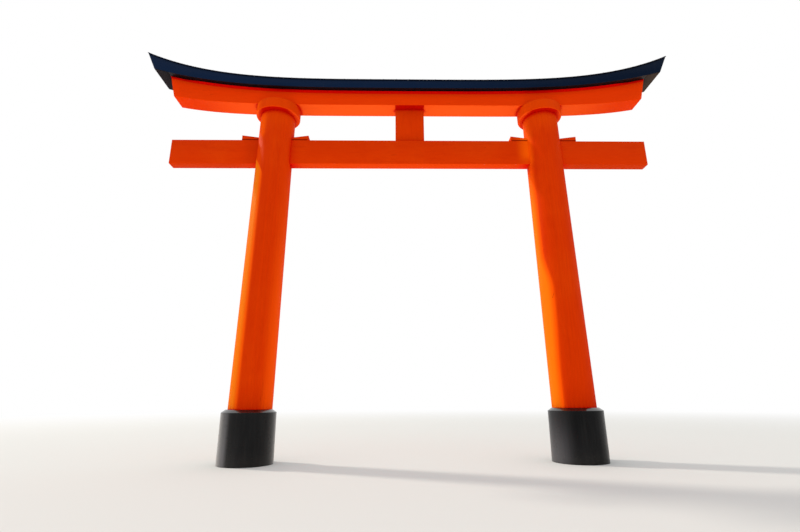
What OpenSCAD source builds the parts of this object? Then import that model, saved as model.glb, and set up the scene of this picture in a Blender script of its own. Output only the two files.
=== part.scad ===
// Timber torii gate: two leaning round pillars, a tie beam with wedges and a curved double lintel.
// Origin: on the ground, midway between the pillars. X runs along the beams, front is -Y.

/* [Pillars] */
// distance between the pillar centres at the ground
pillar_spacing = 8850; // [8300:50:9400]
// inward lean of each pillar, degrees
pillar_lean = 1; // [0.3:0.01:1.4]
// pillar radius at the ground
pillar_foot_r = 587; // [550:1:620]
// pillar radius under the ring capital
pillar_head_r = 538; // [480:1:545]

/* [Base drums] */
// height of the black drum round each pillar foot
drum_h = 1300; // [1050:10:1550]
// drum radius at the ground
drum_foot_r = 726; // [700:1:780]
// drum radius at its rim
drum_rim_r = 719; // [680:1:760]
// height of the sloping lid on the drum
lid_h = 75; // [40:1:120]
// width left at the top of the lid, beside the pillar
lid_lip = 8; // [4:1:20]

/* [Ring capitals] */
// height of each ring capital
capital_h = 340; // [260:5:400]
// radius of each ring capital
capital_r = 689; // [640:1:720]
// rounding of the capital's lower edge
capital_round = 40; // [15:5:100]
// rounding of the capital's upper edge
capital_top_round = 25; // [10:5:60]

/* [Tie beam] */
// underside of the tie beam above the ground
beam_z = 8666; // [8350:1:8850]
// height of the tie beam
beam_h = 822; // [700:1:880]
// thickness of the tie beam
beam_t = 330; // [300:2:360]
// how far the tie beam reaches past the pillar's foot centre at each end
beam_reach = 3056; // [2600:1:3400]

/* [Wedges] */
// reach of each wedge from the pillar centre
wedge_reach = 1045; // [900:5:1200]
// height of a wedge at its thick end
wedge_thick_h = 176; // [150:1:220]
// height of a wedge at the pillar centre line
wedge_thin_h = 36; // [30:1:60]
// thickness of each wedge
wedge_t = 290; // [240:2:300]
// gap between the two wedge tips inside the pillar
wedge_gap = 120; // [60:10:300]

/* [Centre strut] */
// width of the strut between the tie beam and the lower lintel
strut_w = 914; // [700:2:1000]
// thickness of the strut
strut_t = 180; // [140:2:240]
// height of the strut, from the tie beam to the lower lintel
strut_h = 1192; // [1000:1:1400]

/* [Lower lintel] */
// height of the lower lintel at mid-span
lower_h = 492; // [420:1:560]
// depth of the lower lintel from front to back
lower_d = 621; // [560:1:680]
// how far the lower lintel's underside reaches past the pillar's foot centre
lower_reach = 3124; // [2800:1:3400]
// how much further the lower lintel's top reaches at each slanting end
lower_slant = 181; // [60:1:300]
// how far the underside is swept up at its ends
lower_sweep = 294; // [220:1:360]
// power of the underside's curve
lower_power = 5.04; // [3.5:0.01:6]

/* [Upper lintel] */
// height of the upper lintel's face at mid-span, without the roof covers
upper_h = 280; // [240:1:340]
// depth of the upper lintel from front to back
upper_d = 1040; // [960:2:1120]
// reach of the upper lintel's underside past the top of the lower lintel
upper_reach = 463; // [300:1:620]
// how much further the upper lintel's top edge reaches at each slanting end
upper_slant = 259; // [120:1:380]
// how far the joint of the two lintels is swept up at the underside's ends
joint_sweep = 674; // [560:1:760]
// power of the joint's curve
joint_power = 3.664; // [3:0.001:4.5]
// how far the top edge is swept up at its ends
top_sweep = 970; // [850:1:1060]
// power of the top edge's curve
top_power = 3.988; // [3.2:0.001:4.8]

/* [Roof covers] */
// thickness of the sheet covers on the upper lintel
cover_t = 30; // [20:1:40]
// how far the covers stand out from the face
cover_lip = 12; // [6:1:24]
// slope of the covers, degrees
roof_slope = 11; // [8:0.5:14]
// half width of the ridge cap
ridge_half = 130; // [100:5:180]
// thickness of the ridge cap
ridge_t = 24; // [18:1:36]

/* [Hidden] */
vermilion = "#c8350a";
black = "#23211f";
sheet = "#2a2f33";
$fa = 3;
$fs = 4;
half_span = pillar_spacing / 2;
curve_steps = 40;
overhang_steps = 3;
beam_l = 2 * (half_span + beam_reach);
lower_z = beam_z + beam_h + strut_h;
lower_half = half_span + lower_reach;
lower_top_half = lower_half + lower_slant;
upper_half = lower_top_half + upper_reach;
upper_top_half = upper_half + upper_slant;
// how far the capitals are let into the lower lintel
let_in = 12;
// a size past the whole gate, for cutting solids
big = 40000;
capital_top = (lower_z + let_in) / cos(pillar_lean);
pillar_top = capital_top - capital_h;
taper = (pillar_foot_r - pillar_head_r) / pillar_top;
beam_axis_x = half_span - (beam_z + beam_h) * tan(pillar_lean);
joint_z = lower_z + lower_h;
edge_z = joint_z + upper_h;
roof_rise = tan(roof_slope) * upper_d / 2;
end_dz = edge_z + top_sweep - joint_z - joint_sweep;
// how far the roof outlines run on beyond the lintel's ends before they are trimmed
past_end = 900;

function lower_curve(x) = lower_z + lower_sweep * pow(abs(x) / lower_half, lower_power);
function joint_curve(x) = joint_z + joint_sweep * pow(abs(x) / upper_half, joint_power);
function edge_curve(x) = edge_z + top_sweep * pow(abs(x) / upper_top_half, top_power);
function grid(half) = [for (i = [-curve_steps : curve_steps]) i * half / curve_steps];
function reversed(v) = [for (i = [len(v) - 1 : -1 : 0]) v[i]];
overhang = [for (i = [1 : overhang_steps])
    lower_top_half + (upper_half - lower_top_half) * i / overhang_steps];
joint_xs = concat([for (x = reversed(overhang)) -x], grid(lower_top_half), overhang);

// an outline drawn in X and Z, given a depth in Y
module side_prism(points, depth) {
    rotate([90, 0, 0])
        translate([0, 0, -depth / 2])
            linear_extrude(height = depth)
                polygon(points);
}

// a leaning cone on the pillar's axis, side is -1 on the left
module leaning(side) {
    translate([side * half_span, 0, 0])
        rotate([0, -side * pillar_lean, 0])
            children();
}

module pillar_body(side) {
    below = 200;
    difference() {
        leaning(side)
            translate([0, 0, -below])
                cylinder(h = pillar_top + below, r1 = pillar_foot_r + taper * below, r2 = pillar_head_r);
        translate([-big / 2, -big / 2, -big])
            cube(big);
    }
}

module base_drum(side) {
    color(black)
        difference() {
            translate([side * half_span, 0, 0])
                cylinder(h = drum_h, r1 = drum_foot_r, r2 = drum_rim_r);
            pillar_body(side);
        }
}

module base_lid(side) {
    shift = drum_h * tan(pillar_lean);
    top_r = pillar_foot_r - taper * (drum_h + lid_h) + lid_lip + shift;
    color(black)
        difference() {
            translate([side * half_span, 0, drum_h])
                cylinder(h = lid_h, r1 = drum_rim_r, r2 = top_r);
            pillar_body(side);
        }
}

module wedge(side, way) {
    x0 = side * beam_axis_x;
    z0 = beam_z + beam_h;
    tip = wedge_gap / 2;
    slope = (wedge_thick_h - wedge_thin_h) / wedge_reach;
    color(vermilion)
        side_prism([
            [x0 + way * tip, z0],
            [x0 + way * wedge_reach, z0],
            [x0 + way * wedge_reach, z0 + wedge_thick_h],
            [x0 + way * tip, z0 + wedge_thin_h + slope * tip]
        ], wedge_t);
}

module beam_body() {
    translate([-beam_l / 2, -beam_t / 2, beam_z])
        cube([beam_l, beam_t, beam_h]);
}

module pillar(side) {
    color(vermilion)
        difference() {
            pillar_body(side);
            beam_body();
            wedge(side, -1);
            wedge(side, 1);
        }
}

module capital_body(side) {
    leaning(side)
        translate([0, 0, capital_top - capital_h])
            rotate_extrude()
                union() {
                    square([capital_r - capital_round, capital_h]);
                    translate([0, capital_round])
                        square([capital_r, capital_h - capital_round - capital_top_round]);
                    translate([0, capital_h / 2])
                        square([capital_r - capital_top_round, capital_h / 2]);
                    translate([capital_r - capital_round, capital_round])
                        circle(r = capital_round);
                    translate([capital_r - capital_top_round, capital_h - capital_top_round])
                        circle(r = capital_top_round);
                }
}

module ring_capital(side) {
    color(vermilion)
        capital_body(side);
}

module tie_beam() {
    color(vermilion)
        beam_body();
}

module centre_strut() {
    color(vermilion)
        translate([-strut_w / 2, -strut_t / 2, beam_z + beam_h])
            cube([strut_w, strut_t, strut_h]);
}

module lower_lintel() {
    under = [for (x = grid(lower_half)) [x, lower_curve(x)]];
    top = [for (x = grid(lower_top_half)) [x, joint_curve(x)]];
    color(vermilion)
        difference() {
            side_prism(concat(under, reversed(top)), lower_d);
            capital_body(-1);
            capital_body(1);
        }
}

// the space between the two roof slopes, raised by a given thickness at right angles to them
module under_roof(lift, out) {
    half = upper_top_half + past_end;
    line = [for (x = grid(half)) [x, cos(roof_slope) * (edge_curve(x) + roof_rise) + lift]];
    outline = concat([[half, 0], [-half, 0]], line);
    intersection() {
        rotate([roof_slope, 0, 0])
            side_prism(outline, out);
        rotate([-roof_slope, 0, 0])
            side_prism(outline, out);
    }
}

// the slanted ends, seen from the front, carried up past the ridge
module end_outline(depth) {
    run = upper_slant / end_dz;
    low_x = upper_half - run * past_end;
    low_z = joint_z + joint_sweep - past_end;
    high_x = upper_top_half + run * past_end;
    high_z = edge_z + top_sweep + past_end;
    side_prism([[-low_x, low_z], [low_x, low_z], [high_x, high_z], [-high_x, high_z]], depth);
}

module upper_lintel() {
    under = [for (x = joint_xs) [x, joint_curve(x)]];
    over = [[upper_half + upper_slant * 2, joint_z + joint_sweep + end_dz * 2],
        [-upper_half - upper_slant * 2, joint_z + joint_sweep + end_dz * 2]];
    color(black)
        intersection() {
            side_prism(concat(under, over), upper_d);
            under_roof(0, big);
        }
}

module roof_cover(side) {
    color(sheet)
        intersection() {
            difference() {
                under_roof(cover_t, big);
                under_roof(0, big * 1.1);
            }
            end_outline(upper_d + 2 * cover_lip);
            translate([-big / 2, side < 0 ? -big : 0, 0])
                cube(big);
        }
}

module ridge_cap() {
    color(sheet)
        intersection() {
            difference() {
                under_roof(cover_t + ridge_t, big);
                under_roof(cover_t, big * 1.1);
            }
            end_outline(2 * ridge_half);
        }
}

base_drum(-1);  // left_base_drum
base_drum(1);  // right_base_drum
base_lid(-1);  // left_base_lid
base_lid(1);  // right_base_lid
pillar(-1);  // left_pillar
pillar(1);  // right_pillar
ring_capital(-1);  // left_ring_capital
ring_capital(1);  // right_ring_capital
tie_beam();
wedge(-1, -1);  // left_outer_wedge
wedge(-1, 1);  // left_inner_wedge
wedge(1, -1);  // right_inner_wedge
wedge(1, 1);  // right_outer_wedge
centre_strut();
lower_lintel();
upper_lintel();
roof_cover(-1);  // front_roof_cover
roof_cover(1);  // back_roof_cover
ridge_cap();
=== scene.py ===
import math

import bmesh
import bpy
from mathutils import Matrix, Vector


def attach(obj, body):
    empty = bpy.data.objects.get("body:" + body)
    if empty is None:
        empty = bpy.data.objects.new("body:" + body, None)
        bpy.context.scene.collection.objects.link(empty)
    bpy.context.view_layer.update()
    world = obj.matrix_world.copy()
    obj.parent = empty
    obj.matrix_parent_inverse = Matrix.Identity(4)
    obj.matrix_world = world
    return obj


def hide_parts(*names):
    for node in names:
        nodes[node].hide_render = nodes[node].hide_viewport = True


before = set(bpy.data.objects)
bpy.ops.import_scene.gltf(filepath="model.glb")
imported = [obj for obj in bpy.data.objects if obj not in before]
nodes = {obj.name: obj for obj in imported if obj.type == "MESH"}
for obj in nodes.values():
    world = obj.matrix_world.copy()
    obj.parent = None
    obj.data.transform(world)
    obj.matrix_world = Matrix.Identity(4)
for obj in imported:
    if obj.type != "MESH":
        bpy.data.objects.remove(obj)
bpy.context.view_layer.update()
scene = bpy.context.scene
print("frame loaded:", len(nodes), "nodes")


# small helpers for shader trees

def newMaterial(name):
    mat = bpy.data.materials.new(name)
    mat.use_nodes = True
    tree = mat.node_tree
    tree.nodes.clear()
    out = tree.nodes.new("ShaderNodeOutputMaterial")
    shader = tree.nodes.new("ShaderNodeBsdfPrincipled")
    tree.links.new(shader.outputs["BSDF"], out.inputs["Surface"])
    return mat, tree, shader


def noise(tree, look, along="z"):  # a look: squeeze along the axis, offset, scale, detail, roughness
    squeeze, offset, scale, detail, rough = look
    coords = tree.nodes.new("ShaderNodeTexCoord")
    mapping = tree.nodes.new("ShaderNodeMapping")
    mapping.inputs["Scale"].default_value = [squeeze if axis == along else 1 for axis in "xyz"]
    mapping.inputs["Location"].default_value = offset
    tree.links.new(coords.outputs["Object"], mapping.inputs["Vector"])
    node = tree.nodes.new("ShaderNodeTexNoise")
    node.inputs["Scale"].default_value = scale
    node.inputs["Detail"].default_value = detail
    node.inputs["Roughness"].default_value = rough
    tree.links.new(mapping.outputs["Vector"], node.inputs["Vector"])
    return node.outputs["Fac"]


def ramp(tree, value, low, high, outLow=0.0, outHigh=1.0):
    node = tree.nodes.new("ShaderNodeMapRange")
    node.interpolation_type = "SMOOTHSTEP"
    node.inputs["From Min"].default_value = low
    node.inputs["From Max"].default_value = high
    node.inputs["To Min"].default_value = outLow
    node.inputs["To Max"].default_value = outHigh
    tree.links.new(value, node.inputs["Value"])
    return node.outputs["Result"]


def sums(tree, kind, a, b=0.0):
    node = tree.nodes.new("ShaderNodeMath")
    node.operation = kind
    for socket, value in ((node.inputs[0], a), (node.inputs[1], b)):
        if isinstance(value, (int, float)):
            socket.default_value = value
        else:
            tree.links.new(value, socket)
    return node.outputs["Value"]


def product(tree, first, *others):
    for other in others:
        first = sums(tree, "MULTIPLY", first, other)
    return first


def band(tree, value, rise, fall):  # 1 between two soft edges, each of them a pair of values
    return product(tree, ramp(tree, value, *rise), ramp(tree, value, *fall, 1, 0))


def blendColour(tree, factor, a, b):
    node = tree.nodes.new("ShaderNodeMix")
    node.data_type = "RGBA"
    if isinstance(factor, (int, float)):
        node.inputs["Factor"].default_value = factor
    else:
        tree.links.new(factor, node.inputs["Factor"])
    for socket, value in ((node.inputs["A"], a), (node.inputs["B"], b)):
        if isinstance(value, tuple):
            socket.default_value = (*value, 1)
        else:
            tree.links.new(value, socket)
    return node.outputs["Result"]


def bump(tree, shader, layers):  # layers of (height, depth in metres), coarse first
    normal = None
    for height, depth in layers:
        node = tree.nodes.new("ShaderNodeBump")
        node.inputs["Strength"].default_value = 1.0
        node.inputs["Distance"].default_value = depth
        tree.links.new(height, node.inputs["Height"])
        if normal:
            tree.links.new(normal, node.inputs["Normal"])
        normal = node.outputs["Normal"]
    tree.links.new(normal, shader.inputs["Normal"])


def spot(tree):  # X, Y and Z of the point, in metres
    coords = tree.nodes.new("ShaderNodeTexCoord")
    split = tree.nodes.new("ShaderNodeSeparateXYZ")
    tree.links.new(coords.outputs["Object"], split.inputs["Vector"])
    return split.outputs


def sweepRise(tree, x, curve):  # how far a swept line has risen at x
    share = sums(tree, "DIVIDE", sums(tree, "ABSOLUTE", x), curve["span"])
    return product(tree, sums(tree, "POWER", share, curve["power"]), curve["sweep"])


def hollow(tree, reach):  # how shut in a point is: 1 in the open, 0 deep in a corner
    node = tree.nodes.new("ShaderNodeAmbientOcclusion")
    node.samples = 6
    node.inputs["Distance"].default_value = reach
    return node.outputs["AO"]


def facing(tree, direction):  # 1 where the surface looks along the direction, -1 where it looks away
    geometry = tree.nodes.new("ShaderNodeNewGeometry")
    node = tree.nodes.new("ShaderNodeVectorMath")
    node.operation = "DOT_PRODUCT"
    node.inputs[1].default_value = Vector(direction).normalized()
    tree.links.new(geometry.outputs["Normal"], node.inputs[0])
    return node.outputs["Value"]


# Below, lengths are in metres and colours are linear. A ramp is written as the two values between which
# it runs, then what it gives at them, where that isn't 0 and 1.

# painted timber

paint = {
    "main": (0.660, 0.0345, 0.0006),
    "fresh": (0.700, 0.0460, 0.0010),
    "deep": (0.600, 0.0270, 0.0004),
    # painted shade by the left pillar on the tie beam
    "deepest": (0.480, 0.0230, 0.0003),
    "sunlit": (0.970, 0.0620, 0.0008),  # painted sunlight at half strength, on the side towards the low sun
    "faded": (0.880, 0.1720, 0.0030),  # painted sunlight at full strength
    "below": (0.860, 0.0980, 0.0095),  # painted light on undersides, as from the bright ground below
    # painted underside light of the tie beam, set darker than elsewhere
    "belowBeam": (0.600, 0.0420, 0.0010),
    # painted shade on the tie beam's underside towards its ends
    "belowEnds": (0.450, 0.0260, 0.0004),
    "foot": (0.560, 0.0180, 0.0004),  # splashed paint above the drums
    "glow": (0.900, 0.0780, 0.0010),  # painted light on the inner side of the left pillar
    "warm": (0.950, 0.1150, 0.0010),  # painted light: lighter paint at the pillar heads and by the right joint
    "crack": (0.240, 0.0080, 0.0003),
    # painted shade in corners and where parts meet
    "corner": (0.620, 0.0030, 0.0002),
    # painted shade under the strut and the capitals
    "cornerBelow": (0.450, 0.0025, 0.0001),
    # painted shade right below the joint with the upper lintel
    "eaves": (0.900, 0.0035, 0.0003),
    # painted light on the face below that
    "eavesLift": (0.930, 0.0440, 0.0010),
    "overlap": (0.560, 0.0022, 0.0002),  # the same coat on the underside of the upper lintel, darkened as painted shade
    "grime": (0.300, 0.0450, 0.0120),
}
timber = {  # looks of its noises, squeezed along the grain
    "patches": (1, (0, 0, 0), 0.55, 5, 0.6),
    "streaks": (0.22, (3, 1, 7), 5.5, 6, 0.6),
    "brush": (0.06, (0, 0, 0), 85, 4, 0.6),
    "grain": (0.05, (2, 5, 8), 30, 5, 0.65),
    "drift": (0.025, (6, 1, 3), 7.0, 1, 0.4),  # a crack runs where it is 0.5
    "waves": (0.22, (1, 8, 2), 1.6, 3, 0.5),
    "specks": (1, (9, 2, 4), 26, 5, 0.7),
    "gloss": (0.22, (5, 5, 5), 3.2, 5, 0.6),
    "wobble": (1, (0, 0, 0), 3.0, 3, 0.5),  # of the rings on a sawn end
}
relief = {  # depths of its bumps
    "waves": 0.012,
    "streaks": 0.0012,
    "grain": 0.0010,
    "brush": 0.0005,
    "rings": 0.0006,
    "crack": 0.002,
}
coat = {
    "fresh": (0.42, 0.72, 0, 0.8),
    "streaks": (0.48, 0.78, 0, 0.6),
    "grain": (0.50, 0.70, 0, 0.55),
    "specks": (0.68, 0.80, 0, 0.25),
    "crackWidth": (0.0, 0.0030, 1, 0),
    "crackPlaces": (0.52, 0.60),
    "crackShare": 0.55,
    "splash": (1.6, 2.6, 0.45, 0),  # by height on a pillar
    "splashRagged": 0.6,
    # painted sunlight on the side towards the low sun
    "sunlit": (0.0, 0.4),
    "fadedPower": 1.3,
    "head": (9.5, 10.2, 0, 0.16),  # by height on a pillar: painted light at its head
    # painted light on the inner side of the left pillar, fading upwards
    "glow": (0.50, 1.0),
    "glowHeight": (3.0, 8.8, 1, 0.2),
    # painted light on undersides
    "under": (0.60, 0.95),
    "underShare": 0.85,
    # painted shade in corners, by how shut in a point is
    "corner": (0.65, 0.79, 1, 0),
    "cornerReach": 0.60,
    "rough": (0.3, 0.7, 0.52, 0.68),
    "shine": 0.02,
    "shineTint": (1.0, 0.30, 0.06, 1),
}
rings = {"width": 0.016, "wobble": 0.10, "line": (0.1, 0.9), "cut": (0.75, 0.92), "share": 0.30}


# where the two lintels meet

joint = {"height": 11.172, "sweep": 0.674, "span": 8.193, "power": 3.664}

lintelCoat = {
    "ends": (4.6, 7.2),  # painted shade: the underside's painted light gives way between these, out from the middle
    "lift": (0.08, 0.50, 0.95, 0.45),  # painted light, by the drop below the joint
    "line": (0.055, 0.095, 1, 0),  # painted shade: dark red line right below the joint
    "patch": (0.447, 0.487, 1, 0),  # painted shade: dark patch over the strut
}


def lintelShade(tree, colour, under):
    at = spot(tree)
    away = sums(tree, "ABSOLUTE", at["X"])
    ends = product(tree, ramp(tree, away, *lintelCoat["ends"]), under)
    colour = blendColour(tree, ends, colour, paint["main"])
    height = sums(tree, "ADD", sweepRise(tree, at["X"], joint), joint["height"])
    drop = sums(tree, "SUBTRACT", height, at["Z"])
    lift = product(tree, ramp(tree, drop, *lintelCoat["lift"]), sums(tree, "SUBTRACT", 1.0, under))
    colour = blendColour(tree, lift, colour, paint["eavesLift"])
    colour = blendColour(tree, ramp(tree, drop, *lintelCoat["line"]), colour, paint["eaves"])
    patch = product(tree, ramp(tree, away, *lintelCoat["patch"]), under)
    return blendColour(tree, patch, colour, paint["cornerBelow"])


beamCoat = {
    "ends": (4.4, 5.6, 0, 0.9),  # painted shade: the underside darkens between these, out from the middle
    "front": (0.5, 0.9),
    "warmAlong": ((3.30, 3.74), (4.2, 4.3)),  # painted light: lighter patch by the right pillar
    "warmUp": (8.70, 9.05, 0.35, 1),
    "paintedShadeAlong": ((-5.30, -4.85), (-4.30, -4.20)),  # painted shade: darker patch by the left pillar
    "paintedShadeShare": 0.45,
    "wedgeSeat": 9.488,  # top of the beam
    "seatLine": ((-0.006, 0.002), (0.034, 0.060)),  # painted shade line along the wedges' foot, by the height over that
    "seatAlong": ((3.24, 3.26), (5.29, 5.31)),
    "seatShare": 0.9,
}


def beamShade(tree, colour, under):
    at = spot(tree)
    away = sums(tree, "ABSOLUTE", at["X"])
    ends = product(tree, ramp(tree, away, *beamCoat["ends"]), under)
    colour = blendColour(tree, ends, colour, paint["belowEnds"])
    front = ramp(tree, facing(tree, (0, -1, 0)), *beamCoat["front"])
    warm = product(tree, band(tree, at["X"], *beamCoat["warmAlong"]), front)
    warm = product(tree, warm, ramp(tree, at["Z"], *beamCoat["warmUp"]))
    colour = blendColour(tree, warm, colour, paint["warm"])
    paintedShade = product(tree, band(tree, at["X"], *beamCoat["paintedShadeAlong"]), front, beamCoat["paintedShadeShare"])
    colour = blendColour(tree, paintedShade, colour, paint["deepest"])
    # the crack colour, here a painted shade line along the wedges' foot
    rise = sums(tree, "SUBTRACT", at["Z"], beamCoat["wedgeSeat"])
    seat = product(tree, band(tree, rise, *beamCoat["seatLine"]), beamCoat["seatShare"])
    seat = product(tree, seat, band(tree, away, *beamCoat["seatAlong"]))
    return blendColour(tree, seat, colour, paint["crack"])


rightPillarCoat = {  # painted light on the right pillar by the tie beam
    "towards": (-1, 0.2, 0),
    "side": (0.55, 0.95),
    "heights": ((8.50, 8.85), (9.3, 10.3)),
}


def rightPillarShade(tree, colour, under):
    side = ramp(tree, facing(tree, rightPillarCoat["towards"]), *rightPillarCoat["side"])
    heights = band(tree, spot(tree)["Z"], *rightPillarCoat["heights"])
    return blendColour(tree, product(tree, side, heights), colour, paint["warm"])


capitalCoat = {
    "centre": 4.243,  # of both capitals, out from the middle
    # painted light on the capitals' faces
    "warmShare": 0.15,
    "ring": (0.36, 0.60, 1, 0),  # painted shade on the underside, before and behind the pillar
}


def capitalShade(tree, colour, under):
    colour = blendColour(tree, capitalCoat["warmShare"], colour, paint["warm"])
    away = sums(tree, "ABSOLUTE", spot(tree)["X"])
    away = sums(tree, "ABSOLUTE", sums(tree, "SUBTRACT", away, capitalCoat["centre"]))
    ring = product(tree, ramp(tree, away, *capitalCoat["ring"]), under)
    return blendColour(tree, ring, colour, paint["cornerBelow"])


# painted sunlight of the low sun, and painted shadows that the beams leave in it

sunSides = {  # how many degrees behind due left the painted sun stands, and the edge of the side it lights
    "left": {"behind": 13, "edge": (0.0, 0.45), "shelter": True},
    "right": {
        "behind": 35,
        "edge": (0.02, 0.56),
        "widths": ((4.6, 5.8, 0.15, -0.22), (2.0, 4.4, -0.13, 0)),  # moves the edge, by height: a painted shadow edge
        "fade": (6.9, 8.8, 1, 0.30),  # by height: painted shadow of the beams above
    },
    "level": {"behind": 24, "edge": (0.05, 0.60)},
    "capital": {"behind": 24, "edge": (0.05, 0.60), "across": (-1.0, 1.0, 0.30, 0.105)},  # by X: less painted sunlight on the right capital
}
shelter = {  # painted shadow that the tie beam casts on the left pillar's painted sunlight
    "edge": -4.74,
    "slope": 2.0,
    "line": (8.66, 8.80, 1, 0.13),
    "above": (9.35, 9.60, 0, 0.20),
}


def paintedSunlight(tree, sun):  # how much painted sunlight a point gets
    side = sunSides[sun]
    at = spot(tree)
    turn = math.radians(side["behind"])
    towards = facing(tree, (-math.cos(turn), math.sin(turn), 0))
    for width in side.get("widths", ()):
        towards = sums(tree, "ADD", towards, ramp(tree, at["Z"], *width))
    sunShare = ramp(tree, towards, *side["edge"])
    if "fade" in side:
        sunShare = product(tree, sunShare, ramp(tree, at["Z"], *side["fade"]))
    if "across" in side:
        sunShare = product(tree, sunShare, ramp(tree, at["X"], *side["across"]))
    if "shelter" in side:
        inward = product(tree, sums(tree, "SUBTRACT", at["X"], shelter["edge"]), shelter["slope"])
        below = ramp(tree, sums(tree, "ADD", at["Z"], inward), *shelter["line"])
        above = ramp(tree, at["Z"], *shelter["above"])
        sunShare = product(tree, sunShare, sums(tree, "ADD", below, above))
    return sunShare


def endGrain(tree, pith):  # 1 on the dark rings of a sawn end, around the pith's Y and Z
    at = spot(tree)
    side = sums(tree, "SUBTRACT", at["Y"], pith[0])
    up = sums(tree, "SUBTRACT", at["Z"], pith[1])
    radius = sums(tree, "SQRT", sums(tree, "ADD", product(tree, side, side), product(tree, up, up)))
    radius = sums(tree, "ADD", radius, product(tree, noise(tree, timber["wobble"]), rings["wobble"]))
    lines = sums(tree, "SINE", product(tree, radius, 2 * math.pi / rings["width"]))
    cut = ramp(tree, sums(tree, "ABSOLUTE", facing(tree, (1, 0, 0))), *rings["cut"])
    return product(tree, ramp(tree, lines, *rings["line"]), cut)


def vermilionPaint(name, along, sun, below="below", reach=coat["cornerReach"], shade=None, pith=None):
    mat, tree, shader = newMaterial(name)  # along is the axis of the grain and of the brush
    looks = {key: noise(tree, look, along) for key, look in timber.items() if key != "wobble"}
    crack = sums(tree, "ABSOLUTE", sums(tree, "SUBTRACT", looks["drift"], 0.5))
    crack = ramp(tree, crack, *coat["crackWidth"])
    crack = product(tree, crack, ramp(tree, looks["patches"], *coat["crackPlaces"]))
    fresh = ramp(tree, looks["patches"], *coat["fresh"])
    colour = blendColour(tree, fresh, paint["main"], paint["fresh"])
    colour = blendColour(tree, ramp(tree, looks["streaks"], *coat["streaks"]), colour, paint["deep"])
    colour = blendColour(tree, ramp(tree, looks["grain"], *coat["grain"]), colour, paint["deep"])
    colour = blendColour(tree, ramp(tree, looks["specks"], *coat["specks"]), colour, paint["grime"])
    height = spot(tree)["Z"]
    if along == "z":
        ragged = sums(tree, "ADD", height, product(tree, looks["streaks"], coat["splashRagged"]))
        colour = blendColour(tree, ramp(tree, ragged, *coat["splash"]), colour, paint["foot"])
    # painted sunlight: the side towards the low sun is lighter and more orange
    sunShare = paintedSunlight(tree, sun)
    colour = blendColour(tree, ramp(tree, sunShare, *coat["sunlit"]), colour, paint["sunlit"])
    colour = blendColour(tree, sums(tree, "POWER", sunShare, coat["fadedPower"]), colour, paint["faded"])
    # painted light at the pillar heads
    if sun in ("left", "right"):
        colour = blendColour(tree, ramp(tree, height, *coat["head"]), colour, paint["warm"])
    # painted light on the inner side of the left pillar
    if sun == "left":
        inner = ramp(tree, facing(tree, (1, 0, 0)), *coat["glow"])
        inner = product(tree, inner, ramp(tree, height, *coat["glowHeight"]))
        colour = blendColour(tree, inner, colour, paint["glow"])
    # painted light on undersides
    under = ramp(tree, facing(tree, (0, 0, -1)), *coat["under"])
    colour = blendColour(tree, product(tree, under, coat["underShare"]), colour, paint[below])
    # painted shade in corners and where parts meet
    shut = ramp(tree, hollow(tree, reach), *coat["corner"])
    colour = blendColour(tree, shut, colour, paint["corner"])
    if shade:
        colour = shade(tree, colour, under)
    layers = [(looks[key], relief[key]) for key in ("waves", "streaks", "grain", "brush")]
    if pith:
        ends = endGrain(tree, pith)
        colour = blendColour(tree, product(tree, ends, rings["share"]), colour, paint["deep"])
        layers.append((ends, relief["rings"]))
    colour = blendColour(tree, product(tree, crack, coat["crackShare"]), colour, paint["crack"])
    layers.append((sums(tree, "SUBTRACT", 1.0, crack), relief["crack"]))
    bump(tree, shader, layers)
    tree.links.new(colour, shader.inputs["Base Color"])
    tree.links.new(ramp(tree, looks["gloss"], *coat["rough"]), shader.inputs["Roughness"])
    shader.inputs["Specular IOR Level"].default_value = coat["shine"]
    shader.inputs["Specular Tint"].default_value = coat["shineTint"]
    return mat


# black lacquer of the drums and their lids

lacquer = {
    "main": (0.0030, 0.0030, 0.0034),
    "worn": (0.0080, 0.0078, 0.0076),
    "cloud": (0.0060, 0.0062, 0.0072),
    "dust": (0.30, 0.26, 0.21),
    # pale colour of dust and painted reflection
    "dustAndReflection": (0.20, 0.19, 0.20),
    "streaks": (0.12, (2, 6, 1), 7, 6, 0.62),
    "patches": (1, (0, 0, 0), 2.4, 5, 0.6),
    "fine": (0.2, (0, 0, 0), 60, 4, 0.6),
    "ragged": (1, (0, 0, 0), 6.5, 6, 0.65),
    "spots": (1, (4, 4, 4), 42, 3, 0.5),
    "relief": {"patches": 0.004, "streaks": 0.001, "fine": 0.0004},
    "wornPlaces": (0.42, 0.76),
    "cloudPlaces": (0.5, 0.8, 0, 0.5),
    "spotPlaces": (0.66, 0.76),
    "roughPlaces": (0.3, 0.75),
    "roughSpread": 0.14,
    "lidGloss": 0.07,
    "lidShine": 1.0,
    "drumGloss": 0.24,
    "drumShine": 0.085,
    "sheenRough": 0.42,
    "sheenTint": (1.0, 0.95, 0.90, 1),
}
drums = {  # painted reflection on the sunny side, pale as dust, its strength low and high up, and the sheen over all
    "left": {"dustAndReflection": (0.27, 0.47, 0, 0.33), "heights": (0.1, 1.3, 1.35, 0.80), "sheen": 0.46},
    "right": {"dustAndReflection": (0.30, 0.92, 0, 0.22), "heights": (0.1, 1.3, 1.60, 0.45), "sheen": 0.07},
}
drumFoot = {  # splashed dust, a pale layer of dust and painted reflection near the ground, and spots, all by height
    "sunny": (-1, 0.1, 0),
    "splash": (-0.16, 0.30, 0.025, 0),
    "splashRagged": 0.25,
    "splashRough": 1.2,
    "dustAndReflection": (0.0, 1.2, 0.030, 0),
    "dustAndReflectionSide": (-0.6, 0.2),
    "spots": (0.05, 0.6, 0.25, 0),
}


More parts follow.
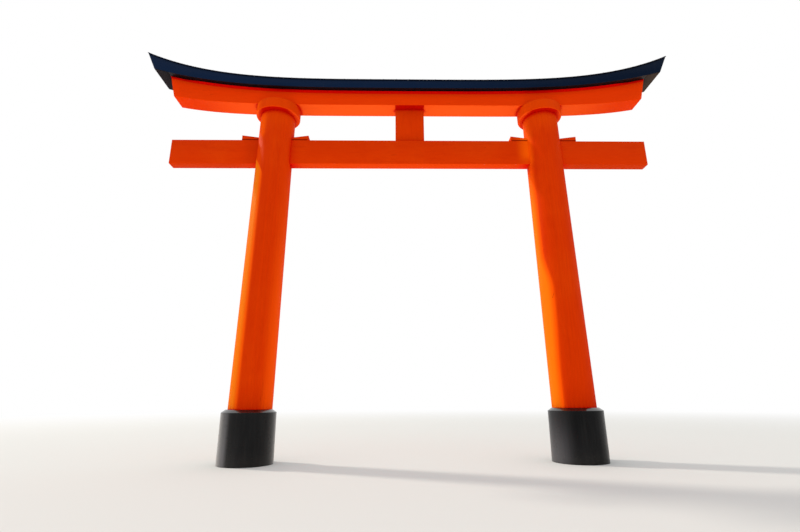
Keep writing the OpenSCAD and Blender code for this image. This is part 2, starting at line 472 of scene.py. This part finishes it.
def blackLacquer(name, drum=None):
    mat, tree, shader = newMaterial(name)
    looks = {key: noise(tree, lacquer[key]) for key in ("patches", "streaks", "fine")}
    worn = ramp(tree, looks["streaks"], *lacquer["wornPlaces"])
    colour = blendColour(tree, worn, lacquer["main"], lacquer["worn"])
    cloud = ramp(tree, looks["patches"], *lacquer["cloudPlaces"])
    colour = blendColour(tree, cloud, colour, lacquer["cloud"])
    gloss = lacquer["drumGloss" if drum else "lidGloss"]
    rough = ramp(tree, looks["patches"], *lacquer["roughPlaces"], gloss, gloss + lacquer["roughSpread"])
    if drum:
        up = spot(tree)["Z"]
        ragged = product(tree, noise(tree, lacquer["ragged"]), drumFoot["splashRagged"])
        splash = ramp(tree, sums(tree, "SUBTRACT", up, ragged), *drumFoot["splash"])
        colour = blendColour(tree, splash, colour, lacquer["dust"])
        # painted reflection of bright surroundings on the sunny side, and dust with painted reflection
        # at the foot
        sunny = facing(tree, drumFoot["sunny"])
        dustAndReflection = ramp(tree, sunny, *drums[drum]["dustAndReflection"])
        dustAndReflection = product(tree, dustAndReflection, ramp(tree, up, *drums[drum]["heights"]))
        foot = product(tree, ramp(tree, up, *drumFoot["dustAndReflection"]), ramp(tree, sunny, *drumFoot["dustAndReflectionSide"]))
        colour = blendColour(tree, sums(tree, "ADD", dustAndReflection, foot), colour, lacquer["dustAndReflection"])
        spots = ramp(tree, noise(tree, lacquer["spots"]), *lacquer["spotPlaces"])
        spots = product(tree, spots, ramp(tree, up, *drumFoot["spots"]))
        colour = blendColour(tree, spots, colour, lacquer["dust"])
        rough = sums(tree, "ADD", rough, product(tree, splash, drumFoot["splashRough"]))
        shader.inputs["Sheen Weight"].default_value = drums[drum]["sheen"]
        shader.inputs["Sheen Roughness"].default_value = lacquer["sheenRough"]
        shader.inputs["Sheen Tint"].default_value = lacquer["sheenTint"]
    shader.inputs["Specular IOR Level"].default_value = lacquer["drumShine" if drum else "lidShine"]
    tree.links.new(colour, shader.inputs["Base Color"])
    tree.links.new(rough, shader.inputs["Roughness"])
    bump(tree, shader, [(looks[key], depth) for key, depth in lacquer["relief"].items()])
    return mat


# blue-black paint of the upper lintel, and its sheet covers

night = {
    "face": (0.0030, 0.0105, 0.0350),
    "worn": (0.0050, 0.0125, 0.0370),
    "away": (0.0008, 0.0045, 0.0165),  # painted shade: deeper towards the right end
    "under": (0.0150, 0.0120, 0.0140),
    "underRight": (0.0420, 0.0290, 0.0225),
    "sheet": (0.0040, 0.0110, 0.0310),
    "chalk": (0.0400, 0.0460, 0.0560),
    # painted shade in corners
    "corner": (0.0008, 0.0007, 0.0007),
    "streaks": (0.16, (7, 3, 1), 6, 6, 0.6),
    "runs": (0.12, (1, 9, 3), 9, 5, 0.6),
    "fine": (0.12, (0, 0, 0), 70, 4, 0.6),
    "relief": {"streaks": 0.0015, "fine": 0.0005},
    "wornPlaces": (0.42, 0.75),
    "chalkPlaces": (0.58, 0.82),
    "roughPlaces": (0.3, 0.75),
    "roughSpread": 0.15,
    "awayAlong": (-1.0, 7.5),
    "underSide": (0.45, 0.75),
    "underRightAlong": (5.5, 7.9),
    "cornerRamp": (0.68, 0.96, 1, 0),
    "shineTint": (0.35, 0.60, 1.0, 1),
}
overlap = {  # the lower lintel's vermilion runs on a little below the upper one, less at the ends
    "reach": (6.6, 7.3, 0.349, 0.308),
    "edge": (-0.003, 0.003, 1, 0),
}


def overlapShade(tree, colour, under):
    at = spot(tree)
    reach = ramp(tree, sums(tree, "ABSOLUTE", at["X"]), *overlap["reach"])
    strip = sums(tree, "SUBTRACT", sums(tree, "ABSOLUTE", at["Y"]), reach)
    strip = product(tree, ramp(tree, strip, *overlap["edge"]), under)
    return blendColour(tree, strip, colour, paint["overlap"])


def nightPaint(name, base, gloss, chalky, shine=0.07, reach=0.45, shade=None):
    mat, tree, shader = newMaterial(name)
    looks = {key: noise(tree, night[key], "x") for key in ("streaks", "fine")}
    runs = noise(tree, night["runs"])
    along = spot(tree)["X"]
    colour = blendColour(tree, ramp(tree, looks["streaks"], *night["wornPlaces"]), base, night["worn"])
    # painted shade towards the right end
    colour = blendColour(tree, ramp(tree, along, *night["awayAlong"]), colour, night["away"])
    chalk = ramp(tree, runs, *night["chalkPlaces"], 0, chalky)
    colour = blendColour(tree, chalk, colour, night["chalk"])
    boards = ramp(tree, along, *night["underRightAlong"])
    boards = blendColour(tree, boards, night["under"], night["underRight"])
    under = ramp(tree, facing(tree, (0, 0, -1)), *night["underSide"])
    colour = blendColour(tree, under, colour, boards)
    # painted shade in corners and under the overhang
    shut = ramp(tree, hollow(tree, reach), *night["cornerRamp"])
    colour = blendColour(tree, shut, colour, night["corner"])
    if shade:
        colour = shade(tree, colour, under)
    rough = ramp(tree, looks["streaks"], *night["roughPlaces"], gloss, gloss + night["roughSpread"])
    tree.links.new(colour, shader.inputs["Base Color"])
    tree.links.new(rough, shader.inputs["Roughness"])
    shader.inputs["Specular IOR Level"].default_value = shine
    shader.inputs["Specular Tint"].default_value = night["shineTint"]
    bump(tree, shader, [(looks[key], depth) for key, depth in night["relief"].items()])
    return mat


materials = {
    "leftPillar": vermilionPaint("vermilionLeftPillar", "z", "left", reach=0.35),
    "rightPillar": vermilionPaint("vermilionRightPillar", "z", "right", shade=rightPillarShade),
    "strut": vermilionPaint("vermilionStrut", "z", "level", reach=0.10),
    "beam": vermilionPaint("vermilionBeam", "x", "level", below="belowBeam", shade=beamShade,
                           pith=(0.03, 8.98)),
    "capital": vermilionPaint("vermilionCapital", "z", "capital", reach=0.30, shade=capitalShade),
    "lowerLintel": vermilionPaint("vermilionLintel", "x", "level", reach=0.14, shade=lintelShade,
                                  pith=(-0.04, 11.28)),
    "leftDrum": blackLacquer("blackLeftDrum", "left"),
    "rightDrum": blackLacquer("blackRightDrum", "right"),
    "lid": blackLacquer("blackLidLacquer"),
    "lintel": nightPaint("nightLintelPaint", night["face"], gloss=0.38, chalky=0.15, shade=overlapShade),
    "soffit": nightPaint("nightSoffitPaint", night["under"], gloss=0.60, chalky=0.05, shine=0.02),
    "sheet": nightPaint("nightRoofSheet", night["sheet"], gloss=0.34, chalky=0.40, reach=0.03),
}
print("materials made:", len(materials))


# every solid is dressed: a merged copy of it with its edges eased

dressing = {  # the node, its finish, and how wide its eased edges are
    "leftDrumBody": ("left_base_drum", "leftDrum", 0.008),
    "rightDrumBody": ("right_base_drum", "rightDrum", 0.008),
    "leftDrumLid": ("left_base_lid", "lid", 0.003),
    "rightDrumLid": ("right_base_lid", "lid", 0.003),
    "leftPillarPost": ("left_pillar", "leftPillar", 0.010),
    "rightPillarPost": ("right_pillar", "rightPillar", 0.010),
    "leftCapitalDisc": ("left_ring_capital", "capital", 0.004),
    "rightCapitalDisc": ("right_ring_capital", "capital", 0.004),
    "tieBeamTimber": ("tie_beam", "beam", 0.010),
    "leftOuterWedge": ("left_outer_wedge", "beam", 0.006),
    "leftInnerWedge": ("left_inner_wedge", "beam", 0.006),
    "rightInnerWedge": ("right_inner_wedge", "beam", 0.006),
    "rightOuterWedge": ("right_outer_wedge", "beam", 0.006),
    "centreStrutTimber": ("centre_strut", "strut", 0.008),
    "lowerLintelTimber": ("lower_lintel", "lowerLintel", 0.010),
    "upperLintelTimber": ("upper_lintel", "lintel", 0.008),
    "frontCoverSheet": ("front_roof_cover", "sheet", 0.004),
    "backCoverSheet": ("back_roof_cover", "sheet", 0.004),
    "ridgeCapSheet": ("ridge_cap", "sheet", 0.004),
}
edges = {  # angles in degrees
    "merge": 0.00005,
    "flatAngle": 0.3,
    "easedAngle": 30,
    "segments": 2,
    "sharpAngle": 28,
}


def mergedCopy(node, name):
    mesh = bmesh.new()
    mesh.from_mesh(nodes[node].data)
    bmesh.ops.remove_doubles(mesh, verts=mesh.verts, dist=edges["merge"])
    flat = math.radians(edges["flatAngle"])
    bmesh.ops.dissolve_limit(mesh, angle_limit=flat, verts=mesh.verts, edges=mesh.edges)
    data = bpy.data.meshes.new(name)
    mesh.to_mesh(data)
    mesh.free()
    piece = bpy.data.objects.new(name, data)
    scene.collection.objects.link(piece)
    return piece


def settle(piece):  # a plain mesh in place of the live modifiers
    bpy.context.view_layer.update()
    plain = bpy.data.meshes.new_from_object(piece.evaluated_get(bpy.context.evaluated_depsgraph_get()))
    piece.modifiers.clear()
    old = piece.data
    piece.data = plain
    bpy.data.meshes.remove(old)
    plain.name = piece.name
    return plain


def easeEdges(piece, width):
    bevel = piece.modifiers.new("easedEdges", "BEVEL")
    bevel.width = width
    bevel.segments = edges["segments"]
    bevel.limit_method = "ANGLE"
    bevel.angle_limit = math.radians(edges["easedAngle"])
    eased = settle(piece)
    eased.shade_smooth()
    eased.set_sharp_from_angle(angle=math.radians(edges["sharpAngle"]))


for name, (node, finish, width) in dressing.items():
    piece = mergedCopy(node, name)
    easeEdges(piece, width)
    piece.data.materials.clear()
    piece.data.materials.append(materials[finish])
    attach(piece, "root")
    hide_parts(node)
print("solids dressed:", len(dressing))


# small helpers for geometry trees

def wire(tree, kind, values=None, **settings):
    node = tree.nodes.new(kind)
    for key, value in settings.items():
        setattr(node, key, value)
    for key, value in (values or {}).items():
        if isinstance(value, bpy.types.NodeSocket):
            tree.links.new(value, node.inputs[key])
        else:
            node.inputs[key].default_value = value
    return node.outputs


def startTree(name, sizes):
    tree = bpy.data.node_groups.new(name, "GeometryNodeTree")
    for label, value in sizes.items():
        kind = "NodeSocketInt" if isinstance(value, int) else "NodeSocketFloat"
        tree.interface.new_socket(label, in_out="INPUT", socket_type=kind)
    tree.interface.new_socket("Geometry", in_out="OUTPUT", socket_type="NodeSocketGeometry")
    return tree, tree.nodes.new("NodeGroupInput").outputs


def endTree(tree, geometry, finish):
    real = wire(tree, "GeometryNodeRealizeInstances", {"Geometry": geometry})[0]
    given = {"Geometry": real, "Material": materials[finish]}
    dressed = wire(tree, "GeometryNodeSetMaterial", given)[0]
    tree.links.new(dressed, tree.nodes.new("NodeGroupOutput").inputs[0])


def growPiece(name, tree, sizes):
    piece = bpy.data.objects.new(name, bpy.data.meshes.new(name))
    scene.collection.objects.link(piece)
    grown = piece.modifiers.new("grown", "NODES")
    grown.node_group = tree
    for item in tree.interface.items_tree:
        if item.item_type == "SOCKET" and item.in_out == "INPUT":
            grown[item.identifier] = sizes[item.name]
    mesh = settle(piece)
    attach(piece, "root")
    print(name, len(mesh.polygons), "faces")


def combine(tree, x=0.0, y=0.0, z=0.0):
    return wire(tree, "ShaderNodeCombineXYZ", {"X": x, "Y": y, "Z": z})[0]


def pipe(tree, path, sides, radius):  # a round bar along a curve
    ring = wire(tree, "GeometryNodeCurvePrimitiveCircle", {"Resolution": sides, "Radius": radius})[0]
    bar = {"Curve": path, "Profile Curve": ring, "Fill Caps": True}
    return wire(tree, "GeometryNodeCurveToMesh", bar)[0]


def smoothed(tree, geometry):
    return wire(tree, "GeometryNodeSetShadeSmooth", {"Geometry": geometry})[0]


def pointRow(tree, count, start, end):
    row = {"Count": count, "Start Location": start, "Offset": end}
    return wire(tree, "GeometryNodeMeshLine", row, mode="END_POINTS")[0]


def wholeRow(tree, sizes):  # from end to end, at one height and one way out from the ridge
    reach = sizes["Half Length"]
    start = combine(tree, product(tree, reach, -1.0), sizes["Across"], sizes["Height"])
    end = combine(tree, reach, sizes["Across"], sizes["Height"])
    return pointRow(tree, sizes["Count"], start, end)


def sweptLine(tree, sizes, line):  # lays a straight row of points on the sweep, and gives its tilt
    x = wire(tree, "ShaderNodeSeparateXYZ", {"Vector": wire(tree, "GeometryNodeInputPosition")[0]})["X"]
    share = sums(tree, "DIVIDE", sums(tree, "ABSOLUTE", x), sizes["Span"])
    rise = sweepRise(tree, x, {"span": sizes["Span"], "power": sizes["Power"], "sweep": sizes["Sweep"]})
    lessOne = sums(tree, "SUBTRACT", sizes["Power"], 1.0)
    steep = sums(tree, "DIVIDE", product(tree, sizes["Power"], sizes["Sweep"]), sizes["Span"])
    steep = product(tree, steep, sums(tree, "POWER", share, lessOne), sums(tree, "SIGN", x))
    tilt = product(tree, sums(tree, "ARCTANGENT", steep), -1.0)
    raised = {"Geometry": line, "Offset": combine(tree, z=rise)}
    return wire(tree, "GeometryNodeSetPosition", raised)[0], tilt


# the pitched roof of the upper lintel, its slope in degrees

roof = {
    "edgeHeight": 11.452,
    "sweep": 0.970,
    "span": 8.452,
    "power": 3.988,
    "slope": 11.0,
    "halfDepth": 0.520,
    "coverThick": 0.030,
    "capThick": 0.024,
}


def roofTop(across, thick):  # height of the sheet at mid-span, a given way out from the ridge
    slope = math.radians(roof["slope"])
    return roof["edgeHeight"] + (roof["halfDepth"] - across) * math.tan(slope) + thick / math.cos(slope)


def roofSizes(count=0, halfLength=0.0, across=0.0, height=0.0):
    return {"Count": count, "Half Length": halfLength, "Across": across, "Height": height,
            "Span": roof["span"], "Power": roof["power"], "Sweep": roof["sweep"]}


# standing seams of the sheet covers

seam = {
    "count": 41,
    "halfLength": 8.40,
    "inner": 0.122,
    "outer": 0.527,
    "radius": 0.009,
    "stretch": 1.5,
    "sides": 10,
}


def seamTree():
    sizes = roofSizes() | {"Length": 0.0, "Radius": 0.0, "Stretch": 0.0, "Pitch": 0.0}
    tree, given = startTree("standingSeams", sizes)
    row, tilt = sweptLine(tree, given, wholeRow(tree, given))
    half = product(tree, given["Length"], 0.5)
    ends = {"Start": combine(tree, y=product(tree, half, -1.0)), "End": combine(tree, y=half)}
    line = wire(tree, "GeometryNodeCurvePrimitiveLine", ends)[0]
    roll = pipe(tree, line, seam["sides"], given["Radius"])
    stretch = {"Geometry": roll, "Scale": combine(tree, 1.0, 1.0, given["Stretch"])}
    tall = wire(tree, "GeometryNodeTransform", stretch)[0]
    turn = combine(tree, given["Pitch"], tilt)
    copies = {"Points": row, "Instance": smoothed(tree, tall), "Rotation": turn}
    endTree(tree, wire(tree, "GeometryNodeInstanceOnPoints", copies)[0], "sheet")
    return tree


def makeSeams():
    tree = seamTree()
    slope = math.radians(roof["slope"])
    middle = (seam["inner"] + seam["outer"]) / 2
    height = roofTop(middle, roof["coverThick"])
    for name, side in (("frontRoofSeams", -1), ("backRoofSeams", 1)):
        sizes = roofSizes(seam["count"], seam["halfLength"], side * middle, height)
        sizes |= {"Length": (seam["outer"] - seam["inner"]) / math.cos(slope), "Radius": seam["radius"],
                  "Stretch": seam["stretch"], "Pitch": -side * slope}
        growPiece(name, tree, sizes)


# rolled bead along each eave

bead = {"count": 97, "halfLength": 8.462, "across": 0.530, "drop": 0.013, "radius": 0.013, "sides": 12}


def makeBeads():
    tree, given = startTree("eaveBead", roofSizes() | {"Radius": 0.0})
    row = sweptLine(tree, given, wholeRow(tree, given))[0]
    path = wire(tree, "GeometryNodeMeshToCurve", {"Mesh": row})[0]
    endTree(tree, smoothed(tree, pipe(tree, path, bead["sides"], given["Radius"])), "sheet")
    height = roofTop(bead["across"], roof["coverThick"]) - bead["drop"]
    for name, side in (("frontEaveBead", -1), ("backEaveBead", 1)):
        sizes = roofSizes(bead["count"], bead["halfLength"], side * bead["across"], height)
        growPiece(name, tree, sizes | {"Radius": bead["radius"]})


# dome-headed screws with washers that hold the ridge cap

screw = {
    "count": 49,
    "halfLength": 8.40,
    "across": 0.106,
    "head": 0.013,
    "flatness": 0.55,
    "washer": 0.020,
    "washerThick": 0.006,
    "sides": 12,
    "rings": 6,
}


def makeScrews():
    tree, given = startTree("capScrews", roofSizes() | {"Head": 0.0, "Washer": 0.0, "Pitch": 0.0})
    row, tilt = sweptLine(tree, given, wholeRow(tree, given))
    ball = {"Segments": screw["sides"], "Rings": screw["rings"], "Radius": given["Head"]}
    ball = wire(tree, "GeometryNodeMeshUVSphere", ball)[0]
    dome = {"Geometry": ball, "Scale": (1, 1, screw["flatness"])}
    dome = wire(tree, "GeometryNodeTransform", dome)[0]
    plate = {"Vertices": screw["sides"], "Radius": given["Washer"], "Depth": screw["washerThick"]}
    plate = wire(tree, "GeometryNodeMeshCylinder", plate)[0]
    both = tree.nodes.new("GeometryNodeJoinGeometry")
    for part in (smoothed(tree, dome), plate):
        tree.links.new(part, both.inputs[0])
    turn = combine(tree, given["Pitch"], tilt)
    copies = {"Points": row, "Instance": both.outputs[0], "Rotation": turn}
    endTree(tree, wire(tree, "GeometryNodeInstanceOnPoints", copies)[0], "sheet")
    height = roofTop(screw["across"], roof["coverThick"] + roof["capThick"])
    slope = math.radians(roof["slope"])
    for name, side in (("frontCapScrews", -1), ("backCapScrews", 1)):
        sizes = roofSizes(screw["count"], screw["halfLength"], side * screw["across"], height)
        sizes |= {"Head": screw["head"], "Washer": screw["washer"], "Pitch": -side * slope}
        growPiece(name, tree, sizes)


# boards under the overhanging ends of the upper lintel

soffit = {
    "first": 7.800,
    "last": 8.130,
    "count": 4,
    "spread": 1.10,  # board and gap, as a share of the pitch
    "gap": 0.007,
    "depth": 1.010,
    "thick": 0.012,
}


def makeSoffits():
    labels = ("First", "Last", "Height", "Span", "Power", "Sweep", "Width", "Depth", "Thick")
    tree, given = startTree("soffitBoards", {"Count": 0} | {label: 0.0 for label in labels})
    both = tree.nodes.new("GeometryNodeJoinGeometry")
    for way in (-1.0, 1.0):
        ends = [combine(tree, product(tree, given[key], way), 0.0, given["Height"])
                for key in ("First", "Last")]
        tree.links.new(pointRow(tree, given["Count"], *ends), both.inputs[0])
    row, tilt = sweptLine(tree, given, both.outputs[0])
    size = combine(tree, given["Width"], given["Depth"], given["Thick"])
    board = wire(tree, "GeometryNodeMeshCube", {"Size": size})[0]
    copies = {"Points": row, "Instance": board, "Rotation": combine(tree, y=tilt)}
    endTree(tree, wire(tree, "GeometryNodeInstanceOnPoints", copies)[0], "soffit")
    pitch = (soffit["last"] - soffit["first"]) / (soffit["count"] - 1)
    sizes = {"Count": soffit["count"], "First": soffit["first"], "Last": soffit["last"],
             "Height": joint["height"], "Span": joint["span"], "Power": joint["power"],
             "Sweep": joint["sweep"], "Width": pitch * soffit["spread"] - soffit["gap"],
             "Depth": soffit["depth"], "Thick": soffit["thick"]}
    growPiece("soffitBoards", tree, sizes)


makeSeams()
makeBeads()
makeScrews()
makeSoffits()


# stage: a pale floor that fades to white, one broad warm key from the left and behind

stageSet = {
    "floorSize": 400,
    "floorParts": 8,
    "floorColour": (0.66, 0.64, 0.61),
    "floorRough": 0.9,
    "floorShine": 0.1,
    "fade": (16, 60),
    "worldColour": (0.93, 0.97, 1.0),
    "worldStrength": 0.98,
    "keyPlace": (-135, 60, 128),
    "keyAim": (0, 0, 5),
    "keySize": 18,
    "keyPower": 205000,
    "keyColour": (1.0, 0.95, 0.86),
    "bouncePlace": (0, -3, 0.02),
    "bounceSize": (26, 16),
    "bounceSpread": 84,  # in degrees
    "bouncePower": 950,
    "bounceColour": (1.0, 0.96, 0.90),
}
white = (1, 1, 1)


def seenWhite(tree):  # 1 for what the camera, mirrors and glass see, 0 for the light on the object
    rays = tree.nodes.new("ShaderNodeLightPath").outputs
    seen = sums(tree, "ADD", rays["Is Camera Ray"], rays["Is Glossy Ray"])
    seen = sums(tree, "MAXIMUM", seen, rays["Is Transmission Ray"])
    return sums(tree, "MINIMUM", seen, 1.0)


def mixShaders(tree, factor, first, second):
    mixer = tree.nodes.new("ShaderNodeMixShader")
    tree.links.new(factor, mixer.inputs["Fac"])
    tree.links.new(first, mixer.inputs[1])
    tree.links.new(second, mixer.inputs[2])
    return mixer.outputs["Shader"]


def makeFloor():
    mesh = bmesh.new()
    parts = stageSet["floorParts"]
    bmesh.ops.create_grid(mesh, x_segments=parts, y_segments=parts, size=stageSet["floorSize"] / 2)
    data = bpy.data.meshes.new("floor")
    mesh.to_mesh(data)
    mesh.free()
    floor = bpy.data.objects.new("floor", data)
    scene.collection.objects.link(floor)
    mat, tree, shader = newMaterial("paleFloor")
    shader.inputs["Base Color"].default_value = (*stageSet["floorColour"], 1)
    shader.inputs["Roughness"].default_value = stageSet["floorRough"]
    shader.inputs["Specular IOR Level"].default_value = stageSet["floorShine"]
    coords = tree.nodes.new("ShaderNodeTexCoord")
    length = tree.nodes.new("ShaderNodeVectorMath")
    length.operation = "LENGTH"
    tree.links.new(coords.outputs["Object"], length.inputs[0])
    far = ramp(tree, length.outputs["Value"], *stageSet["fade"])
    glow = tree.nodes.new("ShaderNodeEmission")
    glow.inputs["Color"].default_value = (*white, 1)
    whitened = product(tree, far, seenWhite(tree))
    mixed = mixShaders(tree, whitened, shader.outputs["BSDF"], glow.outputs["Emission"])
    out = next(n for n in tree.nodes if n.type == "OUTPUT_MATERIAL")
    tree.links.new(mixed, out.inputs["Surface"])
    floor.data.materials.append(mat)


def makeWorld():
    world = bpy.data.worlds.new("softWorld")
    scene.world = world
    world.use_nodes = True
    tree = world.node_tree
    tree.nodes.clear()
    out = tree.nodes.new("ShaderNodeOutputWorld")
    lights = []
    for colour, strength in ((stageSet["worldColour"], stageSet["worldStrength"]), (white, 1.0)):
        light = tree.nodes.new("ShaderNodeBackground")
        light.inputs["Color"].default_value = (*colour, 1)
        light.inputs["Strength"].default_value = strength
        lights.append(light.outputs["Background"])
    tree.links.new(mixShaders(tree, seenWhite(tree), *lights), out.inputs["Surface"])


def makeKey():
    lamp = bpy.data.lights.new("key", "AREA")
    lamp.shape = "DISK"
    lamp.size = stageSet["keySize"]
    lamp.energy = stageSet["keyPower"]
    lamp.color = stageSet["keyColour"]
    key = bpy.data.objects.new("key", lamp)
    scene.collection.objects.link(key)
    key.location = stageSet["keyPlace"]
    key.rotation_euler = (Vector(stageSet["keyAim"]) - key.location).to_track_quat("-Z", "Y").to_euler()


def makeBounce():  # light that the pale floor throws up under the beams
    lamp = bpy.data.lights.new("bounce", "AREA")
    lamp.shape = "RECTANGLE"
    lamp.size, lamp.size_y = stageSet["bounceSize"]
    lamp.spread = math.radians(stageSet["bounceSpread"])
    lamp.energy = stageSet["bouncePower"]
    lamp.color = stageSet["bounceColour"]
    bounce = bpy.data.objects.new("bounce", lamp)
    scene.collection.objects.link(bounce)
    bounce.location = stageSet["bouncePlace"]
    bounce.rotation_euler = (math.pi, 0, 0)
    bounce.visible_camera = False
    bounce.visible_glossy = False


makeFloor()
makeWorld()
makeKey()
makeBounce()
print("stage set")


# camera: solved from the gate's own corners, its angles in degrees

lens = {
    "place": (-0.5635, -13.1124, 1.635),
    "focalPixels": 461.5,
    "frameWidth": 800,
    "pitch": 16.019,
    "yaw": 0.9975,
    "roll": -0.3074,
    "sensor": 36,
    "farClip": 500,
}


def makeCamera():
    pitch, yaw, roll = (math.radians(lens[k]) for k in ("pitch", "yaw", "roll"))
    ahead = Vector((math.sin(yaw) * math.cos(pitch), math.cos(yaw) * math.cos(pitch), math.sin(pitch)))
    flat = Vector((math.cos(yaw), -math.sin(yaw), 0))
    rise = flat.cross(ahead)
    right = math.cos(roll) * flat + math.sin(roll) * rise
    up = -math.sin(roll) * flat + math.cos(roll) * rise
    data = bpy.data.cameras.new("camera")
    data.sensor_fit = "HORIZONTAL"
    data.sensor_width = lens["sensor"]
    data.lens = lens["focalPixels"] / lens["frameWidth"] * lens["sensor"]
    data.clip_end = lens["farClip"]
    camera = bpy.data.objects.new("camera", data)
    scene.collection.objects.link(camera)
    turn = Matrix((right, up, -ahead)).transposed()
    camera.matrix_world = Matrix.Translation(lens["place"]) @ turn.to_4x4()
    scene.camera = camera


makeCamera()
scene.view_settings.view_transform = "Standard"
